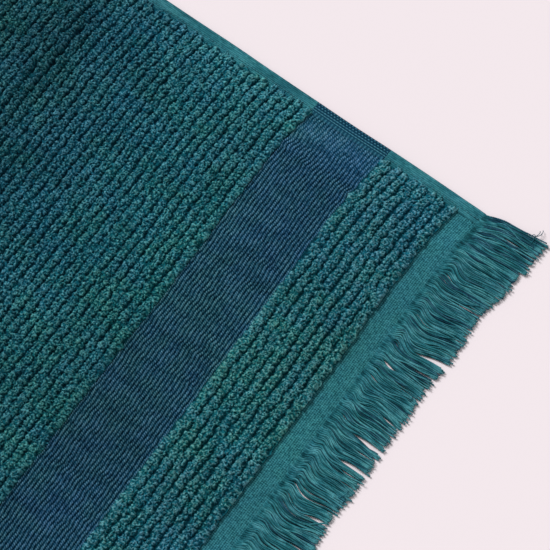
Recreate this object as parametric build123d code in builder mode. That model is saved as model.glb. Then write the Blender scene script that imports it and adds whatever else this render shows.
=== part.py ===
from build123d import *
import os

# A bath towel laid flat, in millimetres. +X runs along the towel to its front end, +Y is its left side,
# and the origin is on the surface that it lies on, under its centre.

# Along the towel, from the middle to each end
cloth_length = 1310.0      # woven cloth, without the fringes
band_length = 67.0         # dark woven border band
end_terry_length = 67.0    # terry between the band and the heading
heading_length = 20.0      # plain weave that locks the weft
fringe_length = 45.0       # loose warp yarns

# Across the towel
towel_width = 700.0
hem_width = 10.0           # folded side hem

# Thickness of each section, from the surface that it lies on
terry_thickness = 6.0      # to the crest of a rib of loops
terry_groove = 3.6         # to the bottom of the groove between two ribs
band_thickness = 3.2
band_groove = 2.3
heading_thickness = 1.6
hem_thickness = 2.6
fringe_thickness = 2.0

# Ribs across the towel, by number
main_ribs = 130
end_terry_ribs = 8
band_ribs = 22

# Fringe tufts
tuft_count = 100
tuft_root = 6.0            # length of the fringe before the yarns part into tufts
tuft_gap = 1.8             # gap between two tufts at their tips

# Hem thread, a lockstitch that lies along the top of the hem
hem_fold_radius = 1.2
thread_width = 0.8
thread_height = 0.4
thread_inset = 7.6         # from the towel's side edge

field_width = towel_width - 2 * hem_width
half_cloth = cloth_length / 2
heading_start = half_cloth - heading_length
end_terry_start = heading_start - end_terry_length
band_start = end_terry_start - band_length

os.makedirs("parts", exist_ok=True)


def save(part, label):
    """Label a finished piece and write it as its own file."""
    part.label = label
    export_step(part, f"parts/{label}.step")


def both_ends(start, length):
    """The lowest x of the same section at the front and at the rear end."""
    return {"front": start, "rear": -start - length}


def make_ribbed_section(label, start, length, ribs, crest, groove):
    """A section with a flat underside and rounded ribs across its top."""
    pitch = length / ribs
    end = start + length
    with BuildPart() as section:
        with BuildSketch(Plane.XZ):
            with BuildLine():
                Polyline((start, groove), (start, 0), (end, 0), (end, groove))
                for rib in range(ribs):
                    foot = start + rib * pitch
                    ThreePointArc((foot, groove), (foot + pitch / 2, crest), (foot + pitch, groove))
            make_face()
        extrude(amount=field_width / 2, both=True)
    save(section.part, label)


def make_heading(label, start):
    """A thin flat strip of plain weave, as wide as the whole towel between its hems."""
    with BuildPart() as heading:
        with BuildSketch(Plane.XY):
            with Locations((start + heading_length / 2, 0)):
                Rectangle(heading_length, field_width)
        extrude(amount=heading_thickness)
    save(heading.part, label)


def make_fringe(label, root_x, outward):
    """A comb of tufts that taper to their tips; outward is +1 at the front end and -1 at the rear."""
    pitch = towel_width / tuft_count
    left = towel_width / 2
    valley_x = root_x + outward * tuft_root
    tip_x = root_x + outward * fringe_length
    outline = [(root_x, -left), (root_x, left)]
    for tuft in range(tuft_count):
        edge = left - tuft * pitch
        outline += [(tip_x, edge - tuft_gap / 2), (tip_x, edge - pitch + tuft_gap / 2)]
        if tuft < tuft_count - 1:
            outline.append((valley_x, edge - pitch))
    with BuildPart() as fringe:
        with BuildSketch(Plane.XY):
            with BuildLine():
                Polyline(*outline, close=True)
            make_face()
        extrude(amount=fringe_thickness)
    save(fringe.part, label)


def make_hem(label, start, length, side):
    """A folded edge strip with a rounded outer fold; side is +1 on the left and -1 on the right."""
    middle = side * (towel_width - hem_width) / 2
    with BuildPart() as hem:
        with BuildSketch(Plane.YZ.offset(start)) as profile:
            with Locations((middle, hem_thickness / 2)):
                Rectangle(hem_width, hem_thickness)
            fold = profile.vertices().filter_by(lambda corner: side * corner.Y > towel_width / 2 - 1)
            fillet(fold, radius=hem_fold_radius)
        extrude(amount=length)
    save(hem.part, label)


def make_thread(label, side):
    """A half-round line of stitching along the whole hem."""
    inset = side * (towel_width / 2 - thread_inset)
    left_foot = (inset - thread_width / 2, hem_thickness)
    crest = (inset, hem_thickness + thread_height)
    right_foot = (inset + thread_width / 2, hem_thickness)
    with BuildPart() as thread:
        with BuildSketch(Plane.YZ.offset(-half_cloth)):
            with BuildLine():
                ThreePointArc(left_foot, crest, right_foot)
                Line(right_foot, left_foot)
            make_face()
        extrude(amount=cloth_length)
    save(thread.part, label)


make_ribbed_section("main_terry", -band_start, 2 * band_start, main_ribs, terry_thickness, terry_groove)

for end_name, start in both_ends(band_start, band_length).items():
    make_ribbed_section(
        f"{end_name}_border_band", start, band_length, band_ribs, band_thickness, band_groove
    )

for end_name, start in both_ends(end_terry_start, end_terry_length).items():
    make_ribbed_section(
        f"{end_name}_end_terry", start, end_terry_length, end_terry_ribs, terry_thickness, terry_groove
    )

for end_name, start in both_ends(heading_start, heading_length).items():
    make_heading(f"{end_name}_heading", start)

make_fringe("front_fringe", half_cloth, 1)
make_fringe("rear_fringe", -half_cloth, -1)

for side_name, side in {"left": 1, "right": -1}.items():
    make_hem(f"{side_name}_hem_main", -band_start, 2 * band_start, side)
    for end_name, start in both_ends(band_start, band_length).items():
        make_hem(f"{side_name}_hem_band_{end_name}", start, band_length, side)
    end_hem_length = end_terry_length + heading_length
    for end_name, start in both_ends(end_terry_start, end_hem_length).items():
        make_hem(f"{side_name}_hem_end_{end_name}", start, end_hem_length, side)
    make_thread(f"{side_name}_hem_thread", side)
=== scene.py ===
import math

import bpy
import numpy as np
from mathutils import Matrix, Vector


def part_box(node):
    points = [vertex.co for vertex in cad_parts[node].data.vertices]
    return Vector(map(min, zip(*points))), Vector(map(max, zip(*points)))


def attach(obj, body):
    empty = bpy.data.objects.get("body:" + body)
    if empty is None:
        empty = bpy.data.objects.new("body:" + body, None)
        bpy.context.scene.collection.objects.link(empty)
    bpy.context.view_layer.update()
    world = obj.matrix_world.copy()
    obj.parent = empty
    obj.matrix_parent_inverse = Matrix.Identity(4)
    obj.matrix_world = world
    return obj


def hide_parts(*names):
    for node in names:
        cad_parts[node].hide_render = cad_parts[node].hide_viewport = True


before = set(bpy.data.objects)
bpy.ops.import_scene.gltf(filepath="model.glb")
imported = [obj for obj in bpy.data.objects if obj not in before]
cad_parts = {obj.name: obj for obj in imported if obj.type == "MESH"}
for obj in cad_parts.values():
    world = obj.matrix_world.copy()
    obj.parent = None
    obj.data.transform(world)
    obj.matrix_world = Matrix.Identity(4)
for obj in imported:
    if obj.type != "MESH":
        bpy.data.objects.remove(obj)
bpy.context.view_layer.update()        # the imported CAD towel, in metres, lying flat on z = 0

# Lengths below are in millimetres, and MM turns them into Blender's metres.
MM = 0.001
TURN = 2 * math.pi       # a full turn, in radians


# ---- The towel's plan, from the CAD boxes ----

def extent(node, axis):
    """A node's lowest and highest place along one axis, in millimetres."""
    low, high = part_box(node)
    return low[axis] / MM, high[axis] / MM


main_start, main_end = extent("main_terry", 0)
band_end = extent("front_border_band", 0)[1]
end_terry_end = extent("front_end_terry", 0)[1]
cloth_end = extent("front_heading", 0)[1]
fringe_end = extent("front_fringe", 0)[1]
field_edge = extent("main_terry", 1)[1]
towel_edge = extent("left_hem_main", 1)[1]
terry_top = extent("main_terry", 2)[1]
band_top = extent("front_border_band", 2)[1]
heading_top = extent("front_heading", 2)[1]
hem_top = extent("left_hem_main", 2)[1]

MAIN_RIBS = 130
END_RIBS = 8
BAND_RIBS = 22
main_pitch = (main_end - main_start) / MAIN_RIBS
end_pitch = (end_terry_end - band_end) / END_RIBS
band_pitch = (band_end - main_end) / BAND_RIBS

TERRY_GROOVE = 2.3       # height of the cloth between two ribs
BAND_GROOVE = 1.4


# ---- Smooth noise and the shape of the cloth as a whole ----

def smooth(t):
    """From 0 to 1 with flat ends."""
    t = np.clip(t, 0.0, 1.0)
    return t * t * (3.0 - 2.0 * t)


def between(values, i, j, fa, fb):
    """A blend of the four values at two rows and two columns; fa and fb are the shares of the second."""
    near = values[i[0], j[0]] * (1 - fa) + values[i[1], j[0]] * fa
    far = values[i[0], j[1]] * (1 - fa) + values[i[1], j[1]] * fa
    return near * (1 - fb) + far * fb


def noise(u, v, size_u, size_v, seed):
    """Smooth noise from -1 to 1, with bumps of about size_u by size_v millimetres."""
    knots = np.random.default_rng(seed).uniform(-1.0, 1.0, (256, 256))
    a, b = u / size_u, v / size_v
    i, j = np.floor(a).astype(int), np.floor(b).astype(int)
    fa, fb = smooth(a - i), smooth(b - j)
    return between(knots, (i % 256, (i + 1) % 256), (j % 256, (j + 1) % 256), fa, fb)


def bell(t, centre, width):
    """A smooth bump from 0 to 1 and back, highest at its centre."""
    return np.exp(-(((t - centre) / width) ** 2))


BOW_AHEAD, BOW_AHEAD_WIDTH = 3.6, 28.0
BOW_BEHIND, BOW_BEHIND_WIDTH = 1.4, 55.0
BOW_BEHIND_INSET = 88.0


def bow(v):
    """How far the weft bows along the towel: ahead at the hems, behind a little way in."""
    inside = np.abs(v)
    ahead = BOW_AHEAD * bell(inside, towel_edge, BOW_AHEAD_WIDTH)
    return ahead - BOW_BEHIND * bell(inside, towel_edge - BOW_BEHIND_INSET, BOW_BEHIND_WIDTH)


# A soft raised fold that crosses the main field near its left hem
FOLD_FOOT, FOLD_WIDTH, FOLD_HEIGHT = 333.0, 23.0, 7.6
FOLD_REACH, FOLD_BACK = 190.0, 130.0     # how far behind its foot it ends, and the length of its back slope
FOLD_SIDE, FOLD_SIDE_SLOPE = 150.0, 70.0


def along_fold(u, foot, slope):
    """From 0 off the fold to 1 on it, along the towel; foot and slope are those of its front."""
    return smooth((foot - u) / slope) * smooth((u - FOLD_FOOT + FOLD_REACH) / FOLD_BACK)


def lift(u, v):
    """How far the cloth's underside stands off the surface that it lies on."""
    waves = 1.0 + 0.9 * noise(u, v, 170.0, 130.0, 11) + 0.7 * noise(u, v, 80.0, 95.0, 12)
    inland = smooth((towel_edge - np.abs(v)) / 90.0) * smooth((cloth_end - np.abs(u)) / 110.0)
    along = along_fold(u, FOLD_FOOT, FOLD_WIDTH)
    across = smooth((v - FOLD_SIDE) / FOLD_SIDE_SLOPE) * smooth((towel_edge - v) / 55.0)
    ripple = 0.35 + 0.35 * noise(u, v, 55.0, 400.0, 13)
    return np.maximum(waves, 0.0) * inland + FOLD_HEIGHT * along * across + ripple


# Where the colour begins to grow lighter towards the ends and hems and darker towards the middle, and over
# what length: from the towel's middle, along and across it
LIGHT_END, LIGHT_END_LENGTH = 325.0, 120.0
LIGHT_HEM, LIGHT_HEM_LENGTH = 290.0, 40.0
DARK_MIDDLE, DARK_MIDDLE_LENGTH = 190.0, 130.0


def shade_and_hue(u, v):
    """How light and how blue the cloth is at each place: lighter towards the ends and the hems, darker
    towards the middle, with painted shade over the raised fold.
    """
    ends = smooth((np.abs(u) - LIGHT_END) / LIGHT_END_LENGTH)
    hems = smooth((np.abs(v) - LIGHT_HEM) / LIGHT_HEM_LENGTH)
    middle = smooth((DARK_MIDDLE - np.abs(v)) / DARK_MIDDLE_LENGTH)
    middle = middle * smooth((end_terry_end - 60.0 - np.abs(u)) / 20.0)
    # painted shade: the raised fold and the cloth behind its crest are painted darker
    middle = middle + 0.8 * along_fold(u, FOLD_FOOT + 15.0, 50.0) * smooth((v - FOLD_SIDE - 10.0) / 60.0)
    patches = 0.06 * noise(u, v, 60.0, 45.0, 14) + 0.06 * noise(u, v, 22.0, 26.0, 15)
    blue = 0.7 * noise(u, v, 120.0, 150.0, 16) + 0.5 * noise(u, v, 28.0, 20.0, 17)
    return {"shade": 0.80 + 0.22 * ends + 0.14 * hems - 0.14 * middle + patches, "hue": np.clip(blue, -1, 1)}


def place(u, v, height):
    """Points in metres for places on the flat cloth, at a height above its underside."""
    u, v = np.broadcast_arrays(u, v)
    return np.stack([(u + bow(v)), v, height + lift(u, v)], axis=-1) * MM


# ---- Meshes ----

UV_MAP = "OFBake"        # the name of the bake map that each piece carries


def float_row(values):
    """Values as the flat array that a mesh takes."""
    return np.ascontiguousarray(values, dtype=np.float32).ravel()


def grid(rows, cols):
    """The row and the column of each cell of a grid."""
    return np.meshgrid(np.arange(rows), np.arange(cols), indexing="ij")


def add_object(name, data):
    """A new object in the scene."""
    item = bpy.data.objects.new(name, data)
    bpy.context.scene.collection.objects.link(item)
    return item


def make_piece(name, node, points, faces, smooth_count, attributes, corner_uv, kind):
    """A mesh piece that replaces a CAD node. faces is a list of integer arrays, each (count, corners).

    The first smooth_count faces are shaded smooth. attributes are values at each point that the
    material reads, corner_uv is the bake map, and kind is one of the cottons.
    """
    mesh = bpy.data.meshes.new(name)
    corners = np.concatenate([f.ravel() for f in faces])
    sizes = np.concatenate([np.full(len(f), f.shape[1]) for f in faces])
    starts = np.concatenate([[0], np.cumsum(sizes)[:-1]])
    mesh.vertices.add(len(points))
    mesh.vertices.foreach_set("co", float_row(points))
    mesh.loops.add(len(corners))
    mesh.loops.foreach_set("vertex_index", corners.astype(np.int32))
    mesh.polygons.add(len(sizes))
    mesh.polygons.foreach_set("loop_start", starts.astype(np.int32))
    mesh.polygons.foreach_set("use_smooth", np.arange(len(sizes)) < smooth_count)
    mesh.update(calc_edges=True)
    for key, values in attributes.items():
        layer = mesh.attributes.new(key, "FLOAT", "POINT")
        layer.data.foreach_set("value", float_row(values))
    layer = mesh.uv_layers.new(name=UV_MAP)
    layer.data.foreach_set("uv", float_row(corner_uv))
    mesh.materials.append(cotton[kind])
    piece = add_object(name, mesh)
    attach(piece, "root")
    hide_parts(node)
    return piece


UV_PAD = 0.012           # clear space around each island of a bake map


def island_of(strip, strips, count):
    """The island that a strip of faces falls in, that island's first strip, and how many strips it has."""
    island = strip * count // strips
    first = -(-island * strips // count)
    return island, first, -(-(island + 1) * strips // count) - first


def folded_uv(rows, cols, low, high, count):
    """Corner UVs of a grid of quads, cut along its length into count islands side by side."""
    i, j = grid(rows, cols)
    island, first, width = island_of(j, cols, count)
    corner = []
    for di, dj in ((0, 0), (1, 0), (1, 1), (0, 1)):
        across = UV_PAD + (1 - 2 * UV_PAD) * (i + di) / rows
        along = UV_PAD + (1 - 2 * UV_PAD) * (j + dj - first) / width
        corner.append(np.stack([(island + across) / count, low + (high - low) * along], axis=-1))
    return np.stack(corner, axis=2).reshape(-1, 2)


def islands(length_u, length_v, height):
    """How many islands keep a map's detail about even both ways."""
    return max(1, round(math.sqrt(length_v / (height * length_u))))


def grid_quads(rows, cols, first, flip):
    """Quads of a grid of (rows + 1) by (cols + 1) points."""
    i, j = grid(rows, cols)
    a = first + i * (cols + 1) + j
    quads = np.stack([a, a + cols + 1, a + cols + 2, a + 1], axis=-1).reshape(-1, 4)
    return quads[:, ::-1] if flip else quads


TOP_SHARE, UNDER_SHARE = 0.80, 0.16      # of a panel's bake map
WALL_STEP, WALL_SHARE = 0.01, 0.008      # of a panel's bake map, for each of its four sides
UNDER_STEP = 4           # the underside has one line for this many of the top's


def panel(name, node, u, v, top, under, kind):
    """A closed panel of cloth. top(u, v) and under(u, v) give height, tone and relief arrays."""
    rows, cols = len(u) - 1, len(v) - 1
    row_pick = np.unique(np.append(np.arange(0, rows, UNDER_STEP), rows))
    col_pick = np.unique(np.append(np.arange(0, cols, UNDER_STEP), cols))
    uu, vv = np.meshgrid(u, v, indexing="ij")
    bu, bv = np.meshgrid(u[row_pick], v[col_pick], indexing="ij")
    high = top(uu, vv) | shade_and_hue(uu, vv)
    low = under(bu, bv) | shade_and_hue(bu, bv)
    lean_u, lean_v = high.get("lean", (0.0, 0.0))
    points = np.concatenate([
        place(uu + lean_u, vv + lean_v, high["height"]).reshape(-1, 3),
        place(bu, bv, low["height"]).reshape(-1, 3),
    ])
    attributes = {
        key: np.concatenate([high[key].ravel(), low[key].ravel()])
        for key in ("tone", "relief", "shade", "hue")
    }
    under_first = (rows + 1) * (cols + 1)
    under_rows, under_cols = len(row_pick) - 1, len(col_pick) - 1
    top_quads = grid_quads(rows, cols, 0, False)
    under_quads = grid_quads(under_rows, under_cols, under_first, True)
    length_u, length_v = u[-1] - u[0], v[-1] - v[0]
    top_count = islands(length_u, length_v, TOP_SHARE)
    under_count = islands(length_u, length_v, UNDER_SHARE)
    top_uv = folded_uv(rows, cols, 0.0, TOP_SHARE, top_count)
    under_uv = folded_uv(under_rows, under_cols, TOP_SHARE, TOP_SHARE + UNDER_SHARE, under_count)
    under_uv = under_uv.reshape(-1, 4, 2)[:, ::-1].reshape(-1, 2)
    walls, wall_uv = panel_walls(rows, cols, row_pick, col_pick, under_first)
    piece = make_piece(
        name, node, points, [top_quads, under_quads, *walls], len(top_quads) + len(under_quads),
        attributes, np.concatenate([top_uv, under_uv, *wall_uv]), kind,
    )
    return piece


def panel_walls(rows, cols, row_pick, col_pick, under_first):
    """The four sides of a panel: each face joins one edge of the underside to several of the top."""
    under_cols = len(col_pick)
    under_rows = len(row_pick)

    def top_index(i, j):
        return i * (cols + 1) + j

    def under_index(i, j):
        return under_first + i * under_cols + j

    sides = (
        (col_pick, lambda j: top_index(0, j), lambda k: under_index(0, k), False),
        (col_pick, lambda j: top_index(rows, j), lambda k: under_index(under_rows - 1, k), True),
        (row_pick, lambda i: top_index(i, 0), lambda k: under_index(k, 0), True),
        (row_pick, lambda i: top_index(i, cols), lambda k: under_index(k, under_cols - 1), False),
    )
    walls, uvs = [], []
    for side, (pick, top_of, under_of, flip) in enumerate(sides):
        strip_low = TOP_SHARE + UNDER_SHARE + side * WALL_STEP
        for step in np.unique(np.diff(pick)):
            spans = np.flatnonzero(np.diff(pick) == step)
            upper = top_of(pick[spans][:, None] + np.arange(step + 1)[None, :])
            lower = np.stack([under_of(spans + 1), under_of(spans)], axis=1)
            face = np.concatenate([upper, lower], axis=1)
            upper_along = pick[spans][:, None] + np.arange(step + 1)
            lower_along = np.stack([pick[spans + 1], pick[spans]], axis=1)
            along = np.concatenate([upper_along, lower_along], axis=1) / pick[-1]
            up = np.concatenate([np.full(upper.shape, WALL_SHARE), np.zeros(lower.shape)], axis=1)
            uv = np.stack([along, strip_low + up], axis=-1)
            walls.append(face[:, ::-1] if flip else face)
            uvs.append((uv[:, ::-1] if flip else uv).reshape(-1, 2))
    return walls, uvs


def lines(start, end, spacing):
    """Evenly spaced grid lines, no further apart than spacing."""
    return np.linspace(start, end, max(2, math.ceil((end - start) / spacing) + 1))


# ---- The pile: clumps of terry, and every loop on them, pressed into one map of the whole cloth ----

CELL = 0.4               # the map's cell
PILE_SHAPE = (math.ceil(2 * cloth_end / CELL) + 1, math.ceil(2 * field_edge / CELL) + 1)
CLUMP_STEP = 1.7         # from one clump of loops to the next along a rib, on alternate sides of it
CLUMP_OFFSET = 1.05      # from the middle of the rib to a clump's middle
STRAY_OFFSET = 2.4       # a few clumps stray this far, and half fill the groove
CLUMP_RADIUS = (2.2, 3.4)
CLUMP_DEPTH = 3.2        # from a clump's top to its foot
CLUMP_DROP = 0.55        # from the terry's highest loops down to the top of a usual clump
CLUMP_INSET = (1.2, 2.5)  # from the hem to a rib's last clump, least and most
CLUMP_KEEP_IN = 2.0      # clumps stay this far from the flat weaves
LOOP_RADIUS = (0.45, 1.0)
LOOP_TURN = (1.9, 4.6)   # how far round a loop goes, in radians
LOOP_RISE = (0.5, 1.2)
LOOP_SAMPLES = 11
YARN_RADIUS = 0.42
GAP_DEPTH = 1.1          # from the tops of the loops to the gaps between them
EDGE_HEIGHT = 3.0        # the least height of the pile beside a flat weave
EDGE_FALL = 2.0          # how far from a flat weave the pile begins to fall towards it

hem_gap = field_edge - np.abs(np.arange(PILE_SHAPE[1]) * CELL - field_edge)
ground = TERRY_GROOVE + (hem_top - TERRY_GROOVE) * smooth(1.15 - hem_gap / 11.0)
base_map = np.tile(ground, (PILE_SHAPE[0], 1)).astype(np.float32)
loop_map = np.full(PILE_SHAPE, -9.0, np.float32)
tone_map = np.zeros(PILE_SHAPE, np.float32)


def rib_sway(u, v):
    """How far a rib wanders along the towel at that place."""
    return 0.85 * noise(u, v, 18.0, 22.0, 21) + 0.50 * noise(u, v, 8.0, 7.0, 22)


def stamp(target, u, v, top, radius, depth, tone=None):
    """Presses rounded tops into a map: the highest at each cell wins, and keeps its tone."""
    column, row = (u + cloth_end) / CELL, (v + field_edge) / CELL
    i0, j0 = np.rint(column).astype(int), np.rint(row).astype(int)
    reach = math.ceil(np.max(radius) / CELL)
    scale = np.broadcast_to((CELL / radius) ** 2, u.shape)
    for di in range(-reach, reach + 1):
        for dj in range(-reach, reach + 1):
            i, j = i0 + di, j0 + dj
            off = ((i - column) ** 2 + (j - row) ** 2) * scale
            keep = (off < 1) & (i >= 0) & (j >= 0) & (i < target.shape[0]) & (j < target.shape[1])
            i, j = i[keep], j[keep]
            height = (top[keep] - depth * (1 - np.sqrt(1 - off[keep]))).astype(np.float32)
            if tone is None:
                np.maximum.at(target, (i, j), height)
            else:
                wins = height >= target[i, j] - 1e-5
                tone_map[i[wins], j[wins]] = tone[keep][wins]


def grow_clumps(start, pitch, ribs, strays, seed):
    """Rows of clumps of loops, which zigzag along each rib like the strands of a cord."""
    rng = np.random.default_rng(seed)
    per_rib = int(2 * field_edge / CLUMP_STEP)
    rib, index = grid(ribs, per_rib)
    shape = rib.shape
    inset = rng.uniform(*CLUMP_INSET, (ribs, 2))
    low, high = -field_edge + inset[:, :1], field_edge - inset[:, 1:]
    v = low + (high - low) * (index + 0.5) / per_rib + rng.normal(0, 0.5, shape)
    side = np.where((rib + index) % 2 == 0, 1.0, -1.0)
    offset = np.where(rng.random(shape) < strays, STRAY_OFFSET, CLUMP_OFFSET)
    u = start + (rib + 0.5) * pitch + side * offset + rng.normal(0, 0.26, shape)
    u = u + rib_sway(u, v)
    top = terry_top - CLUMP_DROP + 0.35 * noise(u, v, 26.0, 30.0, 24) + rng.normal(0, 0.28, shape)
    radius = rng.uniform(*CLUMP_RADIUS, shape)
    inside = np.clip(u, start + CLUMP_KEEP_IN, start + ribs * pitch - CLUMP_KEEP_IN)
    stamp(base_map, inside.ravel(), v.ravel(), top.ravel(), radius.ravel(), CLUMP_DEPTH)


def grow_loops(u_range, v_range, area, seed):
    """Scatters curled loops over the clumps, one to each area: an arc of yarn that rises and sinks."""
    rng = np.random.default_rng(seed)
    count = int((u_range[1] - u_range[0]) * (v_range[1] - v_range[0]) / area)
    u, v = rng.uniform(*u_range, count), rng.uniform(*v_range, count)
    keep = read_map(base_map, u, v) > TERRY_GROOVE + 0.7
    u, v = u[keep], v[keep]
    count = len(u)
    radius = rng.uniform(*LOOP_RADIUS, count)
    turn = rng.uniform(*LOOP_TURN, count) * rng.choice([-1, 1], count)
    heading = rng.uniform(0, TURN, count)
    tone = rng.uniform(-1, 1, count)
    rise = rng.uniform(*LOOP_RISE, count)
    jitter = rng.normal(0, 0.24, count)
    for loop_tone in (None, tone):
        for t in np.linspace(0, 1, LOOP_SAMPLES):
            angle = heading + turn * t
            at_u = u + radius * (np.cos(angle) - np.cos(heading + turn / 2))
            at_v = v + radius * (np.sin(angle) - np.sin(heading + turn / 2))
            top = read_map(base_map, at_u, at_v) + jitter - rise * (2 * t - 1) ** 2
            stamp(loop_map, at_u, at_v, top, YARN_RADIUS, YARN_RADIUS, loop_tone)


def read_map(values, u, v):
    """Bilinear samples of a map at places on the cloth."""
    a = np.clip((u + cloth_end) / CELL, 0, values.shape[0] - 1.001)
    b = np.clip((v + field_edge) / CELL, 0, values.shape[1] - 1.001)
    i, j = a.astype(int), b.astype(int)
    return between(values, (i, i + 1), (j, j + 1), a - i, b - j)


def blur(values, reach):
    """A map averaged over a square of cells that reaches that many cells each way."""
    for axis in (0, 1):
        pad = [(reach + 1, reach) if a == axis else (0, 0) for a in (0, 1)]
        total = np.cumsum(np.pad(values, pad, mode="edge"), axis=axis, dtype=np.float64)
        size = values.shape[axis]
        upper = np.take(total, np.arange(2 * reach + 1, 2 * reach + 1 + size), axis=axis)
        values = (upper - np.take(total, np.arange(size), axis=axis)) / (2 * reach + 1)
    return values.astype(np.float32)


def finish_pile():
    """The maps that the terry panels read: height, tone and relief, sharp and softened; relief is painted
    shade and highlight.
    """
    height = np.maximum(loop_map, base_map - GAP_DEPTH)
    height[base_map < TERRY_GROOVE + 0.6] += GAP_DEPTH * 0.8
    u = np.abs(np.arange(PILE_SHAPE[0]) * CELL - cloth_end)
    edge_gap = np.min([np.abs(u - edge) for edge in (main_end, band_end, end_terry_end)], axis=0)[:, None]
    fall = 1.0 - smooth(edge_gap / EDGE_FALL)
    # painted shade: the hollows between loops, height less its blur, are painted darker
    hollow = height - blur(height, 3)
    level = (height - TERRY_GROOVE) / (terry_top - 0.4 - TERRY_GROOVE)
    # the low pile right beside the hems is painted lighter, lifting its painted shade, and all the pile is a
    # little lighter within about 45 mm of the hems
    by_hem = 0.34 * smooth(1.2 - hem_gap / 5.0) * smooth((4.0 - height) / 1.5)
    by_hem = by_hem + 0.07 * smooth(1.2 - hem_gap / 45.0)
    # painted light: the pile at the heading is painted lighter against the shade at its step down to the
    # heading
    by_heading = 0.46 * (1.0 - smooth(np.abs(u - end_terry_end) / EDGE_FALL))[:, None]
    # relief is painted light and shade: low places and hollows dark, crests light, and the pile by the flat
    # weaves a little lighter against the shade at their edges
    relief = np.clip(0.66 * level + 0.66 * hollow + 0.09 + by_hem + by_heading + 0.12 * fall, 0, 1)
    height = np.maximum(height - 0.25 * fall * (height - hem_top), EDGE_HEIGHT * fall)
    sharp = {"height": height, "tone": tone_map, "relief": relief}
    soft = {key: blur(values, 1) for key, values in sharp.items()}
    # the softened maps get back the painted shade and highlight contrast that blurring takes away
    soft["relief"] = np.clip(1.6 * soft["relief"] - 0.6 * blur(relief, 4) + 0.02, 0, 1)
    return sharp, soft


LEAN_WIDTH = 2.0         # the strip of pile that leans out
LEAN_MOST = 2.0          # over a flat weave
HEM_LEAN_MOST = 2.4      # over a hem


def lean(u, v):
    """How far the outermost loops of a terry section lean out over the weave and the hem beside it."""
    by_weave = 0.9 + 0.9 * noise(u * 0 + 7.5, v, 1.0, 2.6, 31) + 0.5 * noise(u * 0 + 3.5, v, 1.0, 7.0, 32)
    by_hem = 1.3 + 0.9 * noise(u, v * 0 + 7.5, 2.6, 1.0, 33) + 0.5 * noise(u, v * 0 + 3.5, 7.0, 1.0, 34)
    out = np.zeros_like(u)
    for edge, outward in ((main_end, 1.0), (band_end, -1.0), (end_terry_end, 1.0)):
        out = out + outward * bell(np.abs(u), edge, LEAN_WIDTH)
    aside = bell(np.abs(v), field_edge, LEAN_WIDTH) * np.clip(by_hem, 0.0, HEM_LEAN_MOST)
    return np.sign(u) * out * np.clip(by_weave, 0.0, LEAN_MOST), np.sign(v) * aside


def terry_top_from(maps):
    """The top surface of a terry section, as panel() reads it."""
    def top(u, v):
        return {key: read_map(values, u, v) for key, values in maps.items()} | {"lean": lean(u, v)}
    return top


def terry_under(u, v):
    """The underside of a terry section: its loops are pressed nearly flat."""
    pressed = 0.5 + 0.5 * noise(u, v, 3.4, 2.6, 41)
    return {"height": 0.45 * pressed, "tone": noise(u, v, 2.4, 2.0, 42), "relief": 1.0 - pressed}


# ---- The woven sections ----

FLOAT_PITCH = 1.7        # from one slanting float to the next along a rib of the band
WARP_PITCH, WEFT_PITCH = 1.5, 1.7        # of the heading's plain weave


def band_top_of(start):
    """The fine wavy ribs of the border band; each rib is a cord wrapped by slanting warp floats."""
    def top(u, v):
        by_hem = bell(np.abs(v), field_edge - 10.0, 13.0)
        zigzag = 1.0 + 1.5 * bell(np.abs(v), field_edge - 34.0, 11.0)
        sway = 0.62 * zigzag * noise(u, v, 22.0, 7.0, 51) + 0.36 * noise(u, v, 9.0, 4.2, 52)
        phase = (u - start - sway) / band_pitch
        rib = np.floor(phase)
        across = (phase - rib) * 2 - 1
        section = np.clip(1 - np.abs(across) ** 2.2, 0, 1) ** 0.7
        section = section + (0.75 - section) * 0.45 * by_hem
        slip = 0.5 * (rib % 2) + 0.25 * noise(u, v, 3.0, 12.0, 53)
        floats = 0.5 + 0.5 * np.cos(TURN * (v / FLOAT_PITCH + 0.60 * across + slip))
        rough = noise(u, v, 1.1, 1.1, 54)
        streak = noise(u, v, 24.0, 5.5, 55) + 0.5 * noise(u, v, 11.0, 3.0, 56)
        crown = band_top - 0.05 - BAND_GROOVE
        height = BAND_GROOVE + crown * section * (0.66 + 0.34 * floats) + 0.10 * rough
        edge = smooth((field_edge - np.abs(v)) / 1.2)
        # painted shade and highlight: each rib's grooves and the gaps between its floats are painted dark
        # and the float crests light; a little lighter near the hem
        colour = 0.05 + section * (0.36 + 0.60 * floats) + 0.16 * rough + 0.03 * streak + 0.05 * by_hem
        return {
            "height": hem_top - 0.5 + (height - hem_top + 0.5) * edge,
            "tone": np.clip(1.2 * floats - 0.6 + 0.8 * rough + 0.3 * streak + 0.4 * by_hem, -1, 1),
            "relief": np.clip(colour * edge + 0.5 * (1 - edge), 0, 1),
        }
    return top


def heading_top_of(start):
    """Plain weave: warp lines along the towel, over and under a close weft."""
    def top(u, v):
        warp = (v + 0.25 * noise(u, v, 14.0, 30.0, 61)) / WARP_PITCH
        weft = (u - start) / WEFT_PITCH
        over = np.cos(TURN * warp) * np.cos(math.pi * (weft + np.floor(warp + 0.5)))
        line = np.cos(TURN * warp)
        pick = np.cos(TURN * weft)
        rough = noise(u, v, 1.6, 0.9, 62)
        inner = end_terry_end if start > 0 else -end_terry_end
        seam = smooth(1.0 - np.abs(u - inner) / 3.0)
        thin = smooth((np.abs(u) - cloth_end + 5.0) / 5.0)
        height = heading_top - 0.35 + 0.16 * over + 0.16 * line + 0.08 * rough + 0.6 * seam - 0.45 * thin
        # relief is painted light and shade on the weave: lighter on the raised threads, darker between them
        return {
            "height": height,
            "tone": np.clip(0.7 * pick + 0.6 * over + 0.7 * rough, -1, 1),
            "relief": np.clip(0.56 + 0.28 * pick + 0.24 * line + 0.18 * over + 0.22 * rough, 0, 1),
        }
    return top


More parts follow.
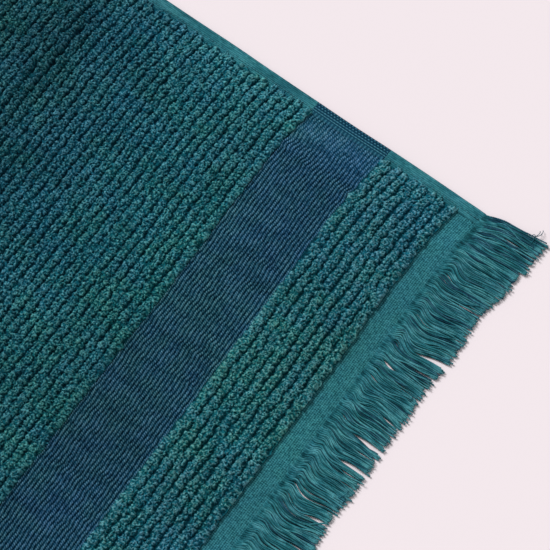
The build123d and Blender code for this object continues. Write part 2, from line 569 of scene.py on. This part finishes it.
def woven_under(u, v):
    """The underside of a woven section, nearly flat."""
    weave = 0.5 + 0.5 * noise(u, v, 1.8, 1.8, 43)
    return {"height": 0.15 * weave, "tone": noise(u, v, 2.0, 2.0, 44), "relief": 0.7 - 0.2 * weave}


# ---- Hems, sewing threads and fringes ----

def close_tube(rings, around):
    """Quads of a tube of rings, and its two caps."""
    i, j = grid(rings - 1, around)
    k = (j + 1) % around
    quads = np.stack([i * around + j, i * around + k, (i + 1) * around + k, (i + 1) * around + j], axis=-1)
    caps = np.stack([np.arange(around)[::-1], (rings - 1) * around + np.arange(around)])
    return quads.reshape(-1, 4), caps


HEM_UNDER = 1.2          # how far the hem runs in under the pile
HEM_POINTS = 30          # points across the top of the hem
WALE = 2.05              # from one lengthwise row of dots on the blue hem to the next
DOT_PITCH = 2.87
BAND_RIBS_FROM = 8.7     # from the hem's edge to where the band's ribs run on over it
TEAL_WALE = 1.45


def dotted_hem(u, inward):
    """The hem beside the band: rows of raised dots, then the band's own ribs. Bump, tone and relief."""
    wale = (inward - 1.3) / WALE
    row = np.rint(wale)
    ridge = np.cos(math.pi * np.clip((wale - row) * 1.35, -0.5, 0.5)) ** 1.5
    wave = np.cos(TURN * (u / DOT_PITCH + 0.5 * row))
    dots, beads = np.clip(0.5 + 0.75 * wave, 0, 1), 0.78 + 0.22 * wave
    bump = ridge * np.where(row < 1.5, dots, beads)
    ribs = 0.5 - 0.5 * np.cos(TURN * (u - main_end) / band_pitch)
    bump = np.where(inward > BAND_RIBS_FROM, 0.15 + 0.5 * ribs, bump) * 0.60
    # painted shade and highlight: the raised dots and ribs are painted light, the hollows between them dark
    return bump, np.clip(bump * 2.6 - 0.5, -1, 1), np.clip(0.18 + 1.45 * bump, 0, 1)


def plain_hem(u, inward):
    """The teal hem, with faint lengthwise wales. Bump, tone and relief."""
    wale = inward / TEAL_WALE + 0.2 * noise(u, inward, 30.0, 4.0, 71)
    bump = 0.10 * np.cos(TURN * wale) + 0.10 * noise(u, inward, 2.6, 0.9, 72)
    bump = bump + 0.12 * noise(u, inward, 14.0, 5.0, 73)
    # painted shade and highlight: the raised wales are painted light, the hollows between them dark
    return bump, np.clip(bump * 5.0, -1, 1), np.clip(0.60 + 2.2 * bump, 0, 1)


def hem_section(kind, u):
    """The hem's closed section at each u: places from the edge inwards, heights, tones and relief."""
    inner = towel_edge - field_edge + HEM_UNDER
    radius = hem_top / 2
    top_in = np.linspace(radius * 0.9, inner, HEM_POINTS)
    bend = np.linspace(-math.pi / 2, math.pi / 2, 9)
    bend_in, bend_height = radius * (1 - np.cos(bend)), radius * (1 + np.sin(bend))
    under_in = np.linspace(inner, radius, 7)[:-1]
    inward = np.concatenate([under_in, bend_in, top_in[1:]])
    height = np.concatenate([np.zeros(len(under_in)), bend_height, np.full(len(top_in) - 1, hem_top)])
    uu, ii = np.meshgrid(u, inward, indexing="ij")
    upper = smooth((height / hem_top - 0.35) / 0.4)[None, :]
    bump, tone, relief = dotted_hem(uu, ii) if kind == "blue_hem" else plain_hem(uu, ii)
    thin = 0.85 * smooth((np.abs(uu) - cloth_end + 7.0) / 7.0) * upper
    # painted shade: the lower half of the rolled edge and the underside are painted darker
    return uu, ii, height[None, :] + bump * upper - thin, tone * upper, relief * (0.35 + 0.65 * upper)


def hem_uv(rings, around, length, side):
    """Corner UVs of a hem, cut along its length into islands side by side, and of its two ends."""
    count = islands(around * 0.35, length, 1.0)
    i, j = grid(rings - 1, around)
    island, first, width = island_of(i, rings - 1, count)
    corner = []
    for di, dj in ((0, 0), (0, 1), (1, 1), (1, 0)):
        across = UV_PAD + (1 - 2 * UV_PAD) * (j + dj) / around
        along = 0.01 + 0.96 * (i + di - first) / width
        corner.append(np.stack([(island + across) / count, along], axis=-1))
    uv = np.stack(corner, axis=2).reshape(-1, 4, 2)
    if side < 0:
        uv = uv[:, ::-1]
    spot = np.stack([np.tile(np.linspace(0.02, 0.98, around), 2), np.full(2 * around, 0.985)], axis=-1)
    return np.concatenate([uv.reshape(-1, 2), spot])


def edge_wander(u, side):
    """How far the towel's side edge wanders in and out."""
    return 0.35 * noise(u, u * 0, 38.0, 50.0, 75 + side)


def make_hem(node, side, spacing, kind):
    """A folded hem, replacing its CAD strip."""
    start, end = extent(node, 0)
    uu, inward, height, tone, relief = hem_section(kind, lines(start, end, spacing))
    edge = towel_edge - inward + edge_wander(uu, side)
    rings, around = uu.shape
    quads, caps = close_tube(rings, around)
    if side < 0:
        quads, caps = quads[:, ::-1], caps[:, ::-1]
    return make_piece(
        node + "_cloth", node, place(uu, side * edge, height).reshape(-1, 3), [quads, caps], len(quads),
        {"tone": tone, "relief": relief} | shade_and_hue(uu, side * edge),
        hem_uv(rings, around, end - start, side), kind,
    )


def tubes(name, node, paths, radii, sides, attributes, kind):
    """One piece of many closed tubes. paths is (tubes, rings, 3) in metres, radii in millimetres."""
    count, rings = paths.shape[:2]
    along = np.gradient(paths, axis=1)
    along /= np.maximum(np.linalg.norm(along, axis=-1, keepdims=True), 1e-12)
    across = np.cross(along, np.array([0.0, 0.0, 1.0]))
    across /= np.maximum(np.linalg.norm(across, axis=-1, keepdims=True), 1e-12)
    upward = np.cross(across, along)
    angle = TURN * np.arange(sides) / sides
    ring = np.cos(angle)[:, None] * across[:, :, None] + np.sin(angle)[:, None] * upward[:, :, None]
    points = paths[:, :, None] + ring * (radii * MM)[:, :, None, None]
    quads, caps = close_tube(rings, sides)
    shift = (np.arange(count) * rings * sides)[:, None, None]
    faces = [(quads[None] + shift).reshape(-1, 4), (caps[None] + shift).reshape(-1, sides)]
    spread = {key: np.repeat(values, sides, axis=1) for key, values in attributes.items()}
    return make_piece(
        name, node, points.reshape(-1, 3), faces, len(faces[0]) + len(faces[1]),
        spread, tube_uv(count, rings, sides, len(faces[1])), kind,
    )


def tube_uv(count, rings, sides, cap_count):
    """Each tube gets its own narrow strip of the bake map, in rows of strips."""
    rows = max(1, round(math.sqrt(count * 3 / (rings * 2))))
    per_row = -(-count // rows)
    tube = np.arange(count)
    row, column = tube // per_row, tube % per_row
    i, j = grid(rings - 1, sides)
    corner = []
    for di, dj in ((0, 0), (0, 1), (1, 1), (1, 0)):
        across = (column[:, None] + 0.1 + 0.8 * ((j + dj) / sides).ravel()[None]) / per_row
        along = (row[:, None] + 0.02 + 0.94 * ((i + di) / (rings - 1)).ravel()[None]) / rows
        corner.append(np.stack([across, along], axis=-1))
    walls = np.stack(corner, axis=2).reshape(-1, 2)
    caps = np.zeros((count, cap_count // count, sides, 2))
    caps[..., 0] = (column[:, None, None] + 0.1 + 0.8 * np.arange(sides) / sides) / per_row
    caps[..., 1] = (row[:, None, None] + 0.975) / rows
    return np.concatenate([walls, caps.reshape(-1, 2)])


THREAD_INSET = 7.38      # from the towel's side edge
STITCH, STITCH_LENGTH = 2.87, 2.35       # from one stitch to the next, and what shows of each
THREAD_RADIUS = 0.30


def make_thread(node, side):
    """A row of lockstitches: each stitch is a short arch of thread that dips into the hem."""
    rng = np.random.default_rng(81 + side)
    starts = np.arange(-cloth_end + 3.0, cloth_end - 4.0, STITCH)
    t = np.linspace(0, 1, 8)
    u = starts[:, None] + t * STITCH_LENGTH + rng.normal(0, 0.05, (len(starts), 1))
    skew = rng.normal(0, 0.10, (len(starts), 1)) * (t - 0.5)
    v = side * (towel_edge - THREAD_INSET + edge_wander(u, side) + skew)
    from_top = np.abs(2 * t - 1)
    height = np.broadcast_to(hem_top + 0.26 - 0.80 * from_top ** 3.2, u.shape)
    height = height + rng.normal(0, 0.03, (len(starts), 1))
    radius = np.broadcast_to(THREAD_RADIUS - 0.06 * from_top ** 2, u.shape)
    tone = np.broadcast_to(rng.uniform(-0.5, 0.7, (len(starts), 1)), u.shape)
    # painted shade: each stitch is darker towards its ends, where it sinks into the hem
    relief = np.broadcast_to(1 - 0.5 * from_top ** 3, u.shape)
    colours = {"tone": tone, "relief": relief} | shade_and_hue(u, v)
    return tubes(node + "_stitches", node, place(u, v, height), radius, 6, colours, "sewing_thread")


YARN_STEP = 1.62         # from one fringe yarn to the next, in each layer
FRINGE_RADIUS = 0.58
UNDER_YARN_RADIUS = 0.76  # yarns in the lower layers lie flatter, so they cover more
UNDER_LOOSE = 0.35       # how freely they stray, where the yarns on top have 1
LAYER_STEP = 0.80
LENGTH_SPREAD = 1.4
CORNER_LENGTH = 5.5      # the yarns are longer towards the corners by this much
# Gaps in the fringe: how far from the left edge, and how wide open at the tips
PARTINGS = (
    (70.0, 0.3), (116.0, 1.2), (195.0, 1.0), (215.0, 0.9), (262.0, 0.5), (306.0, 1.1), (352.0, 0.7),
    (431.0, 1.4), (498.0, 0.8), (540.0, 0.4), (585.0, 1.2), (641.0, 0.8),
)
# Small holes near the root: how far from the left edge, and how far from the cloth
HOLES = ((19.0, 13.0), (139.0, 12.0), (398.0, 12.0), (560.0, 13.0))


def fringe_shift(rng, root, reach, t, end, loose):
    """How far yarns stray sideways: they bend together near the root, then gather into locks.

    loose is 1 for the yarns on top, and less for those that lie flat under them.
    """
    lock_edges = np.cumsum(rng.uniform(7.0, 17.0, 200)) - towel_edge - 6.0
    lock = np.searchsorted(lock_edges, root)
    middle = 0.5 * (lock_edges[lock] + lock_edges[np.maximum(lock - 1, 0)])
    squeeze = rng.uniform(0.08, 0.34, 201)[lock] * loose
    gather = (middle - root)[:, None] * squeeze[:, None] * smooth((t - 0.25) / 0.75)
    across = root[:, None] + 0 * t
    crook = 26.0 * (1 - np.exp(-reach / 19.0))
    bend = 3.1 * noise(across, crook, 13.0, 9.0, 92 + end) + 1.3 * np.sin(TURN * crook / 21.0)
    slant = 2.6 * noise(across, reach * 0, 48.0, 9.0, 94 + end) * t
    yarn = reach + 100.0 * np.arange(len(root))[:, None]
    own = 1.20 * loose * noise(yarn, reach * 0, 12.0, 1.0, 96 + end)
    shift = gather + (bend + own) * smooth(reach / 9.0) + slant
    for gap, width in PARTINGS:
        away = across - (towel_edge - gap)
        push = 2.3 * width * np.sign(away) * np.exp(-np.abs(away) / 5.0)
        shift = shift + push * smooth((t - 0.30) / 0.70)
    for gap, out in HOLES:
        away = across - (towel_edge - gap)
        shift = shift + 1.3 * np.sign(away) * np.exp(-np.abs(away) / 2.5) * bell(reach, out, 5.0)
    corner = smooth((np.abs(across) - 300.0) / 45.0)
    inner = smooth((towel_edge - np.abs(across)) / 12.0)
    tangle = 3.4 * loose * noise(yarn, reach * 0, 21.0, 1.0, 88 + end)
    tangle = tangle * corner * smooth(reach / 14.0) * np.minimum(1.0, 0.4 + inner)
    shift = shift * (1 - 0.5 * corner) + tangle
    return shift + np.sign(across) * corner * (5.2 * smooth(reach / 18.0) + 1.6 * t)


HAIRS, HAIRS_ELSEWHERE = 9, 3
HAIR_LENGTH, HAIR_RADIUS = 13.0, 0.27


def loose_hairs(node, end):
    """A few thin fibres that curl out of the tips of the fringe, most of them at its left corner."""
    rng = np.random.default_rng(301 + end)
    t = np.linspace(0, 1, 22)[None, :]
    at_corner = towel_edge - rng.uniform(-9.0, 4.0, HAIRS - HAIRS_ELSEWHERE)
    root = np.concatenate([at_corner, rng.uniform(-300.0, 280.0, HAIRS_ELSEWHERE)])[:, None]
    aim = rng.uniform(0.1, 1.0, (HAIRS, 1))
    curl = rng.uniform(1.4, 3.6, (HAIRS, 1)) * rng.choice([-1, 1], (HAIRS, 1))
    length = HAIR_LENGTH * rng.uniform(0.6, 1.0, (HAIRS, 1))
    angle = aim + curl * t ** 2
    step = length / (t.shape[1] - 1)
    along = fringe_end - 6.0 + np.cumsum(np.cos(angle), axis=1) * step * 0.6
    across = root + np.cumsum(np.sin(angle), axis=1) * step
    height = 1.0 + 1.6 * np.sin(math.pi * t) + 0 * root
    none = 0 * along
    colours = {"tone": none - 0.7, "relief": none + 0.5} | shade_and_hue(none, none)
    path = place(end * along, across, height)
    return tubes(node + "_hairs", node, path, HAIR_RADIUS + none, 5, colours, "fringe_yarn")


def fringe_layer(rng, end, layer, layers, t):
    """One layer of yarns, counted from the lowest: u, v, height, radius, tone and relief along each."""
    on_top = layer == layers - 1
    count = int((2 * towel_edge - 1.0) / YARN_STEP)
    root = -towel_edge + 0.9 + (np.arange(count) + layer / layers) * YARN_STEP + rng.normal(0, 0.10, count)
    length = fringe_end - cloth_end + 1.0 + rng.normal(0, LENGTH_SPREAD, count)
    length = length + 1.8 * noise(root, root * 0, 17.0, 9.0, 91 + end)
    length = length + CORNER_LENGTH * smooth((np.abs(root) - 268.0) / 80.0)
    hem = smooth((np.abs(root) - field_edge + 0.5) / 1.0)
    start = (5.0 + 6.0 * hem) * rng.uniform(0.6, 1.3, count) if on_top else np.full(count, 1.0)
    reach = -start[:, None] + (length + start)[:, None] * t
    shift = fringe_shift(rng, root, np.maximum(reach, 0.0), t, end, 1.0 if on_top else UNDER_LOOSE)
    v = root[:, None] + shift
    bob = 0.30 * noise(reach, v, 9.0, 6.0, 97 + layer) + rng.normal(0, 0.10, count)[:, None]
    hem = hem[:, None]
    settle = smooth(reach / (7.0 + 12.0 * hem))
    rest = FRINGE_RADIUS + 0.05 + LAYER_STEP * layer + bob
    surface = heading_top - 0.4 + (hem_top - heading_top - 0.2) * hem
    buried = 0.45 * (layers - 1 - layer)
    woven = surface - FRINGE_RADIUS - 0.32 + 0.36 * smooth((reach + 5.0) / 5.0) - buried
    height = woven * (1 - settle) + rest * settle - 0.5 * layer * smooth((t - 0.75) / 0.25)
    corner = smooth((np.abs(root) - 305.0) / 25.0)
    thick = FRINGE_RADIUS if on_top else (UNDER_YARN_RADIUS * (1 + 0.35 * corner))[:, None]
    radius = thick * (1 - 0.22 * t) * rng.uniform(0.80, 1.15, count)[:, None]
    dark = rng.random(count) < 0.09 + 0.26 * corner
    tone = np.where(dark, rng.uniform(-1.0, -0.6, count), rng.uniform(-0.45, 1.0, count))[:, None]
    tone = 0.1 + (tone - 0.1) * smooth((reach + 2.0) / 9.0)
    # painted shade: the lower layers are painted darker; the yarns are also lighter towards their tips and a
    # little darker at the root
    relief = 0.27 + 0.44 * layer / max(layers - 1, 1) + 0.55 * smooth((t - 0.82) / 0.18)
    relief = relief - 0.10 * (1 - smooth(reach / 9.0)) + 0.36 * noise(reach, v, 6.0, 1.5, 99)
    return end * (cloth_end + reach), v, np.maximum(height, radius), radius, tone, relief


def make_fringe(node, end, layers, rings, sides, splits):
    """The fringe at one end, in so many pieces: end is 1 at the front and -1 at the rear."""
    rng = np.random.default_rng(95 + end)
    t = np.linspace(0, 1, rings)[None, :]
    parts = zip(*[fringe_layer(rng, end, layer, layers, t) for layer in range(layers)])
    u, v, height, radius, tone, relief = (np.concatenate(part) for part in parts)
    stray = np.argsort(rng.random(len(u)))[: len(u) // 50]
    curl = smooth((t - 0.6) / 0.4)
    v[stray] += rng.normal(0, 4.5, (len(stray), 1)) * curl ** 1.5
    height[stray] += 1.0 * curl * (1 - curl) * 4
    order = np.argsort(v[:, 0])
    pieces = []
    for index, pick in enumerate(np.array_split(order, splits)):
        name = f"{node}_yarns_{index + 1}" if splits > 1 else f"{node}_yarns"
        colours = {"tone": tone[pick], "relief": np.clip(relief[pick], 0, 1)} | shade_and_hue(u[pick] * 0, v[pick] * 0)
        path = place(u[pick], v[pick], height[pick])
        pieces.append(tubes(name, node, path, radius[pick], sides, colours, "fringe_yarn"))
    return pieces


# ---- Materials ----

GREENER, BLUER = (0.96, 1.07, 0.90), (0.92, 0.95, 1.12)
USUAL_YARN, LIGHT_YARN = (0.93, 0.93, 0.93), (1.22, 1.20, 1.18)
CURL_SCALE, FINE_SCALE, ROUGH_SCALE, FIBRE_SCALE = 720.0, 1900.0, 900.0, 1500.0    # noise, per metre


def link(tree, source, target):
    """Join two sockets."""
    tree.links.new(source, target)


def attribute(tree, name):
    """A value that each point of the mesh holds."""
    node = tree.nodes.new("ShaderNodeAttribute")
    node.attribute_name = name
    return node.outputs["Fac"]


def set_inputs(node, values):
    """Fill a node's inputs by name."""
    for key, value in values.items():
        node.inputs[key].default_value = value


def object_noise(tree, scale, detail):
    """Noise in the piece's own metres."""
    coordinates = tree.nodes.new("ShaderNodeTexCoord")
    node = tree.nodes.new("ShaderNodeTexNoise")
    set_inputs(node, {"Scale": scale, "Detail": detail})
    link(tree, coordinates.outputs["Object"], node.inputs["Vector"])
    return node.outputs["Fac"]


def ramp(tree, factor, stops):
    """Colours along a 0 to 1 value; stops are (position, colour)."""
    node = tree.nodes.new("ShaderNodeValToRGB")
    elements = node.color_ramp.elements
    while len(elements) < len(stops):
        elements.new(0.5)
    for element, (position, colour) in zip(elements, stops):
        element.position = position
        element.color = (*colour, 1.0)
    link(tree, factor, node.inputs["Fac"])
    return node.outputs["Color"]


def spread_range(tree, value, low, high, to_low, to_high):
    """The value, with low to high stretched to to_low to to_high."""
    node = tree.nodes.new("ShaderNodeMapRange")
    set_inputs(node, {"From Min": low, "From Max": high, "To Min": to_low, "To Max": to_high})
    link(tree, value, node.inputs["Value"])
    return node.outputs["Result"]


def multiply(tree, colour, *others):
    """A colour times each of the others."""
    for other in others:
        node = tree.nodes.new("ShaderNodeMix")
        node.data_type = "RGBA"
        node.blend_type = "MULTIPLY"
        node.inputs[0].default_value = 1.0
        link(tree, colour, node.inputs[6])
        link(tree, other, node.inputs[7])
        colour = node.outputs[2]
    return colour


def patch_colour(tree, patchy):
    """Slow drifts between a greener and a bluer dye, with specks of each."""
    hue = spread_range(tree, attribute(tree, "hue"), -1.0, 1.0, 0.5 - 0.5 * patchy, 0.5 + 0.5 * patchy)
    speck = spread_range(tree, object_noise(tree, 90.0, 3.0), 0.30, 0.70, -0.35 * patchy, 0.35 * patchy)
    blend = tree.nodes.new("ShaderNodeMath")
    blend.operation = "ADD"
    blend.use_clamp = True
    link(tree, hue, blend.inputs[0])
    link(tree, speck, blend.inputs[1])
    return ramp(tree, blend.outputs[0], [(0.0, GREENER), (1.0, BLUER)])


def cloth_material(name, deep, body, tip, dark_yarn, patchy, curl):
    """Dyed cotton. Colour runs from deep in the gaps to tip on the crests, which is painted shade in the
    gaps and a painted highlight on the crests. It varies by yarn and patch, and the shade attribute, which
    holds painted shade over the fold, scales it.
    """
    material = bpy.data.materials.new(name)
    material.use_nodes = True
    tree = material.node_tree
    shader = tree.nodes["Principled BSDF"]
    set_inputs(shader, {"Sheen Weight": 0.04, "Sheen Roughness": 0.45, "Specular IOR Level": 0.06})
    # relief picks painted shade for low places and a painted highlight for high ones
    by_height = ramp(tree, attribute(tree, "relief"), [(0.0, deep), (0.55, body), (1.0, tip)])
    yarn = spread_range(tree, attribute(tree, "tone"), -1.0, 1.0, 0.0, 1.0)
    by_yarn = ramp(tree, yarn, [(0.0, dark_yarn), (0.35, USUAL_YARN), (1.0, LIGHT_YARN)])
    shade = attribute(tree, "shade")
    curls = spread_range(tree, object_noise(tree, CURL_SCALE, 1.0), 0.34, 0.66, 1.0 - curl, 1.0 + curl)
    fine = spread_range(tree, object_noise(tree, FINE_SCALE, 2.0), 0.3, 0.7, 0.88, 1.12)
    colour = multiply(tree, by_height, by_yarn, patch_colour(tree, patchy), shade, curls, fine)
    link(tree, colour, shader.inputs["Base Color"])
    rough = spread_range(tree, object_noise(tree, ROUGH_SCALE, 2.0), 0.3, 0.7, 0.78, 0.96)
    link(tree, rough, shader.inputs["Roughness"])
    bump = tree.nodes.new("ShaderNodeBump")
    set_inputs(bump, {"Strength": 0.5, "Distance": 0.0003})
    link(tree, object_noise(tree, FIBRE_SCALE, 3.0), bump.inputs["Height"])
    link(tree, bump.outputs["Normal"], shader.inputs["Normal"])
    return material


# Each cotton's slot, its deep, body and tip colours (deep is painted shade for the gaps, tip a painted
# highlight for the crests), its darkest yarns, how patchy its dye is, and its curl
COTTONS = {
    "teal_terry": (
        "terry", (0.0, 0.027, 0.044), (0.002, 0.075, 0.100), (0.064, 0.212, 0.242),
        (0.48, 0.54, 0.60), 1.0, 0.46),
    "end_teal_terry": (
        "terry", (0.0, 0.036, 0.052), (0.004, 0.088, 0.112), (0.080, 0.218, 0.242),
        (0.48, 0.54, 0.60), 1.0, 0.46),
    "blue_band": (
        "band", (0.0, 0.007, 0.021), (0.002, 0.047, 0.087), (0.088, 0.188, 0.266),
        (0.46, 0.52, 0.64), 1.0, 0.20),
    "teal_weave": (
        "heading", (0.003, 0.050, 0.066), (0.020, 0.126, 0.154), (0.046, 0.195, 0.226),
        (0.62, 0.68, 0.72), 0.35, 0.16),
    "teal_hem": (
        "teal_hem", (0.008, 0.060, 0.078), (0.018, 0.118, 0.145), (0.044, 0.180, 0.212),
        (0.74, 0.78, 0.80), 0.35, 0.12),
    "blue_hem": (
        "blue_hem", (0.0, 0.016, 0.038), (0.008, 0.058, 0.096), (0.056, 0.175, 0.230),
        (0.66, 0.70, 0.78), 0.5, 0.12),
    "fringe_yarn": (
        "fringe", (0.002, 0.050, 0.064), (0.026, 0.180, 0.215), (0.095, 0.345, 0.385),
        (0.34, 0.32, 0.46), 0.4, 0.18),
    "sewing_thread": (
        "thread", (0.008, 0.055, 0.075), (0.025, 0.120, 0.150), (0.050, 0.175, 0.210),
        (0.80, 0.82, 0.85), 0.3, 0.08),
}
cotton = {name: cloth_material(name, *values) for name, (_, *values) in COTTONS.items()}


# ---- The pieces ----

FINE = 0.46              # grid spacing in the front left quarter, which is seen closest
COARSE = 1.4             # grid spacing elsewhere
BAND_COARSE, END_COARSE = 0.7, 1.1       # along the towel in the other bands and end terries
FRONT_HEADING_STEP, REAR_HEADING_STEP = 0.5, 0.6
BLUE_HEM_STEP, LEFT_HEM_STEP, RIGHT_HEM_STEP = 0.6, 0.9, 1.2
MAIN_STRAYS, END_STRAYS = 0.02, 0.09     # the share of clumps that stray into a groove
FINE_LOOP_AREA, COARSE_LOOP_AREA = 1.45, 3.0     # square millimetres of cloth to each loop
SEAM_V = -70.0           # where the fine panels meet the coarse ones across the towel
FINE_STRIPS = 7
FINE_STRIP_RIBS = 5
REAR_PANELS = 3

fine_start = main_end - FINE_STRIPS * FINE_STRIP_RIBS * main_pitch
fine_v = lines(SEAM_V, field_edge, FINE)
side_v = lines(-field_edge, SEAM_V, COARSE)
coarse_v = lines(-field_edge, field_edge, COARSE)
mixed_v = np.concatenate([side_v[:-1], fine_v])

grow_clumps(main_start, main_pitch, MAIN_RIBS, MAIN_STRAYS, 101)
grow_clumps(band_end, end_pitch, END_RIBS, END_STRAYS, 102)
grow_clumps(-end_terry_end, end_pitch, END_RIBS, END_STRAYS, 103)
grow_loops((fine_start, end_terry_end), (SEAM_V, field_edge), FINE_LOOP_AREA, 104)
grow_loops((fine_start, end_terry_end), (-field_edge, SEAM_V), COARSE_LOOP_AREA, 105)
grow_loops((-end_terry_end, fine_start), (-field_edge, field_edge), COARSE_LOOP_AREA, 106)
sharp_pile, soft_pile = finish_pile()
fine_terry_top = terry_top_from(sharp_pile)
coarse_terry_top = terry_top_from(soft_pile)


def terry_panel(name, node, u, v, top):
    """A panel of the main field or of an end terry."""
    kind = "teal_terry" if node == "main_terry" else "end_teal_terry"
    return panel(name, node, u, v, top, terry_under, kind)


def band_panel(name, node, u, v, start):
    """A panel of a border band that starts at that u."""
    return panel(name, node, u, v, band_top_of(start), woven_under, "blue_band")


def heading_panel(name, node, u, v, start):
    """A heading that starts at that u."""
    return panel(name, node, u, v, heading_top_of(start), woven_under, "teal_weave")


for strip in range(FINE_STRIPS):
    strip_start = fine_start + strip * FINE_STRIP_RIBS * main_pitch
    strip_u = lines(strip_start, strip_start + FINE_STRIP_RIBS * main_pitch, FINE)
    terry_panel(f"main_terry_front_{strip + 1}", "main_terry", strip_u, fine_v, fine_terry_top)
terry_panel("main_terry_right", "main_terry", lines(fine_start, main_end, COARSE), side_v, coarse_terry_top)
rear_cuts = np.linspace(main_start, fine_start, REAR_PANELS + 1)
for index in range(REAR_PANELS):
    rear_u = lines(rear_cuts[index], rear_cuts[index + 1], COARSE)
    terry_panel(f"main_terry_rear_{index + 1}", "main_terry", rear_u, coarse_v, coarse_terry_top)

half = len(fine_v) // 2
for index, half_v in enumerate((fine_v[:half + 1], fine_v[half:])):
    band_u, terry_u = lines(main_end, band_end, FINE), lines(band_end, end_terry_end, FINE)
    band_panel(f"front_band_{index + 2}", "front_border_band", band_u, half_v, main_end)
    terry_panel(f"front_end_terry_{index + 2}", "front_end_terry", terry_u, half_v, fine_terry_top)
band_panel("front_band_1", "front_border_band", lines(main_end, band_end, BAND_COARSE), side_v, main_end)
band_panel("rear_band", "rear_border_band", lines(-band_end, -main_end, BAND_COARSE), coarse_v, -band_end)

front_end_u = lines(band_end, end_terry_end, END_COARSE)
rear_end_u = lines(-end_terry_end, -band_end, END_COARSE)
terry_panel("front_end_terry_1", "front_end_terry", front_end_u, side_v, coarse_terry_top)
terry_panel("rear_end_terry_field", "rear_end_terry", rear_end_u, coarse_v, coarse_terry_top)

front_heading_u = lines(end_terry_end, cloth_end, FRONT_HEADING_STEP)
rear_heading_u = lines(-cloth_end, -end_terry_end, REAR_HEADING_STEP)
heading_panel("front_heading_weave", "front_heading", front_heading_u, mixed_v, end_terry_end)
heading_panel("rear_heading_weave", "rear_heading", rear_heading_u, coarse_v, -cloth_end)

for side_name, side in (("left", 1), ("right", -1)):
    for part in ("main", "band_front", "band_rear", "end_front", "end_rear"):
        kind = "blue_hem" if part.startswith("band") else "teal_hem"
        teal_step = LEFT_HEM_STEP if side > 0 else RIGHT_HEM_STEP
        spacing = BLUE_HEM_STEP if kind == "blue_hem" else teal_step
        make_hem(f"{side_name}_hem_{part}", side, spacing, kind)
    make_thread(f"{side_name}_hem_thread", side)
front_yarns = make_fringe("front_fringe", 1, layers=3, rings=27, sides=5, splits=2)
rear_yarns = make_fringe("rear_fringe", -1, layers=2, rings=14, sides=4, splits=1)
hairs = loose_hairs("front_fringe", 1)


# ---- Floor, light and camera ----

FLOOR_HALF = 6.0         # metres
FLOOR_DROP = 0.0002      # just under the towel, in metres
FLOOR_COLOUR = (0.84, 0.755, 0.785, 1.0)


def make_floor():
    """A plain pale floor, which is a stage and not part of the towel."""
    mesh = bpy.data.meshes.new("floor")
    near, far = -FLOOR_HALF, FLOOR_HALF
    mesh.from_pydata([(near, near, 0), (far, near, 0), (far, far, 0), (near, far, 0)], [], [(0, 1, 2, 3)])
    floor = add_object("floor", mesh)
    floor.location.z = -FLOOR_DROP
    material = bpy.data.materials.new("pale_floor")
    material.use_nodes = True
    shader = material.node_tree.nodes["Principled BSDF"]
    set_inputs(shader, {"Base Color": FLOOR_COLOUR, "Roughness": 0.9, "Specular IOR Level": 0.1})
    mesh.materials.append(material)


SUN_HEADING, SUN_HEIGHT = math.radians(170.0), math.radians(44.0)   # from +X, and above the floor
SUN_STRENGTH, SUN_SOFTNESS = 2.96, 0.45
SKY_STRENGTH = 0.42


def make_light():
    """Soft studio light: a broad lamp from one side, and an even white sky."""
    world = bpy.data.worlds.new("studio")
    bpy.context.scene.world = world
    world.use_nodes = True
    background = world.node_tree.nodes["Background"]
    set_inputs(background, {"Color": (1.0, 1.0, 1.0, 1.0), "Strength": SKY_STRENGTH})
    data = bpy.data.lights.new("softbox", "SUN")
    data.energy = SUN_STRENGTH
    data.angle = SUN_SOFTNESS
    lamp = add_object("softbox", data)
    level = math.cos(SUN_HEIGHT)
    towards = Vector((level * math.cos(SUN_HEADING), level * math.sin(SUN_HEADING), math.sin(SUN_HEIGHT)))
    lamp.rotation_euler = towards.to_track_quat("Z", "Y").to_euler()


CAMERA_AZIMUTH, CAMERA_ELEVATION = math.radians(36.0), math.radians(71.9)
CAMERA_DISTANCE = 1.5687                 # metres
LENS, SENSOR = 138.2, 36.0
LOOK_FROM_CORNER = (-96.7, -131.4)       # the middle of the view, from the front left corner of the cloth


def make_camera():
    """The camera looks down on the front left corner."""
    data = bpy.data.cameras.new("camera")
    data.lens, data.sensor_width = LENS, SENSOR
    camera = add_object("camera", data)
    target = np.array([cloth_end + LOOK_FROM_CORNER[0], towel_edge + LOOK_FROM_CORNER[1], 0.0]) * MM
    sin_a, cos_a = math.sin(CAMERA_AZIMUTH), math.cos(CAMERA_AZIMUTH)
    sin_e, cos_e = math.sin(CAMERA_ELEVATION), math.cos(CAMERA_ELEVATION)
    camera.location = target + CAMERA_DISTANCE * np.array([sin_a * cos_e, -cos_a * cos_e, sin_e])
    camera.rotation_euler = (math.pi / 2 - CAMERA_ELEVATION, 0.0, CAMERA_AZIMUTH)
    bpy.context.scene.camera = camera


make_floor()
make_light()
make_camera()
bpy.context.scene.view_settings.view_transform = "Standard"
